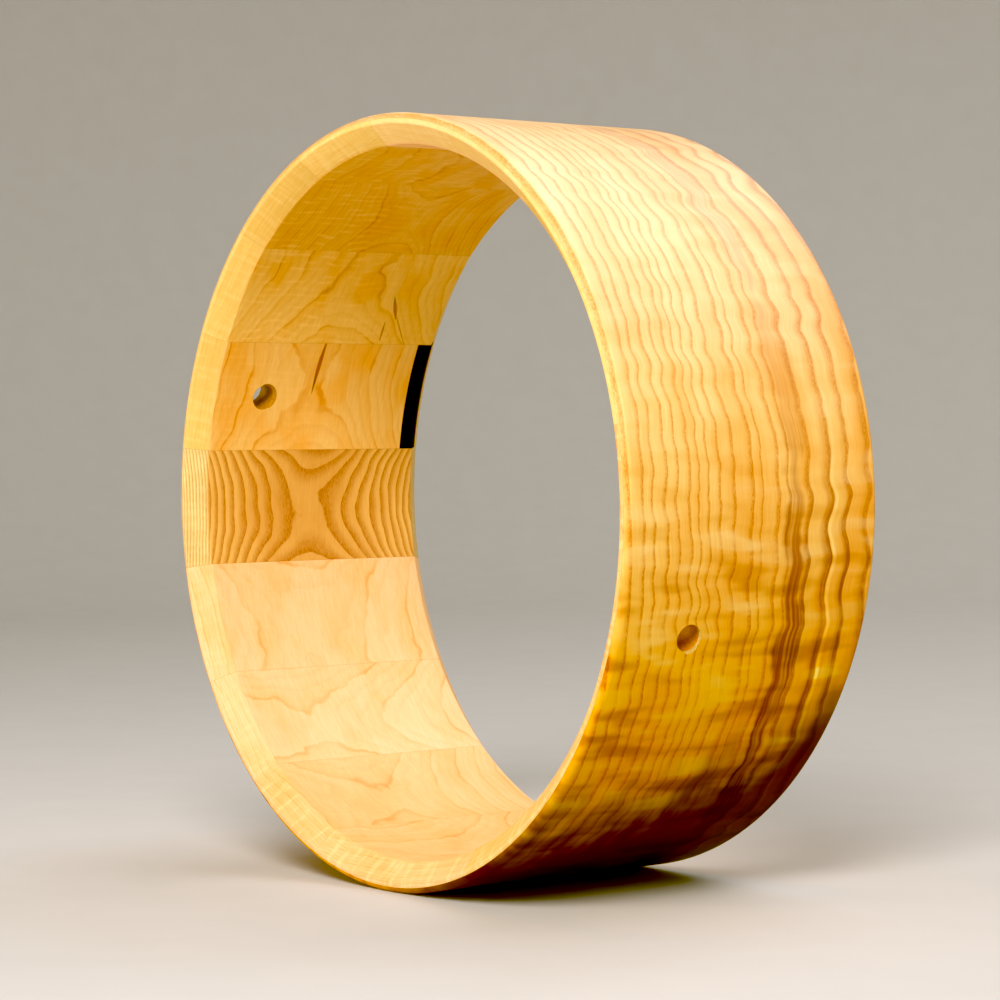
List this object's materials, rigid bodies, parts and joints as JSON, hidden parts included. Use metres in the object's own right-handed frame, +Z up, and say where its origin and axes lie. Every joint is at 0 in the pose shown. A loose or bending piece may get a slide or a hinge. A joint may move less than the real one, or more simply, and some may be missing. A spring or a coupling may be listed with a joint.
{
  "type": "drum shell",
  "caption": "Bare round snare drum shell built from glued hardwood blocks under a bent ash layer, with cut bearing edges and air vents",
  "frame": {"origin": "under the middle of the shell, on the surface that it lies on", "axes": "Z up; Y along the drum's axis, with the near rim facing -Y; X across the shell, with the left vent towards -X"},
  "size_m": [0.352, 0.141, 0.352],
  "materials": {
    "olive_ash": "satin oiled, rippled figure",
    "maple": "fine sanded, unfinished",
    "ash": "fine sanded, unfinished",
    "black_wood": "satin"
  },
  "bodies": {
    "root": {"outer_ash_layer": "olive_ash", "maple_block_01": "maple", "maple_block_02": "maple", "maple_block_03": "maple", "maple_block_04": "maple", "maple_block_05": "maple", "maple_block_06": "maple", "maple_block_07": "maple", "maple_block_08": "maple", "ash_block_09": "ash", "maple_block_10": "maple", "maple_block_11": "maple", "maple_block_12": "maple", "maple_block_13": "maple", "maple_block_14": "maple", "maple_block_15": "maple", "maple_block_16": "maple", "maple_block_17": "maple", "maple_block_18": "maple", "black_end_bar": "black_wood"}
  },
  "joints": []
}
